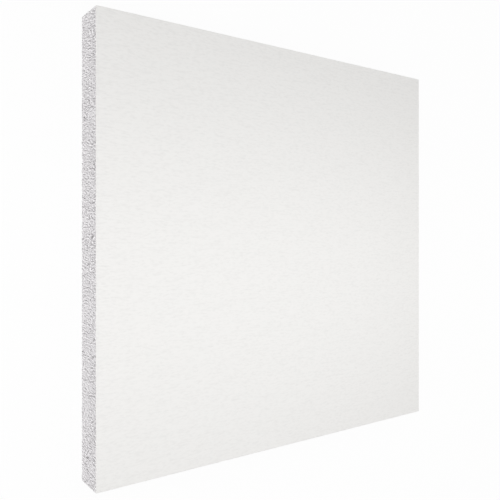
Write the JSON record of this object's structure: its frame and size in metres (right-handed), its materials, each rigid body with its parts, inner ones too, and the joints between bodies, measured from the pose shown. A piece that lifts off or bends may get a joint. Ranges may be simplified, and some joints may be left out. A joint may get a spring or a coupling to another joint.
{
  "type": "ceiling tile",
  "caption": "Square lay-in ceiling tile: a thick mineral wool board, sawn square on all sides, with a white painted fleece bonded over its face.",
  "frame": {"origin": "centre of the tile's back, which is the lower side as it lies", "axes": "+Z from the back through the face, +X across the tile's width, +Y along its length"},
  "size_m": [0.595, 0.595, 0.05],
  "materials": {
    "mineral_wool": "dry sawn mineral wool, pale grey, fibrous and matt",
    "painted_fleece": "matt warm white paint on a fine non-woven fleece"
  },
  "bodies": {
    "root": {"wool_board": "mineral_wool", "face_fleece": "painted_fleece"}
  },
  "joints": []
}
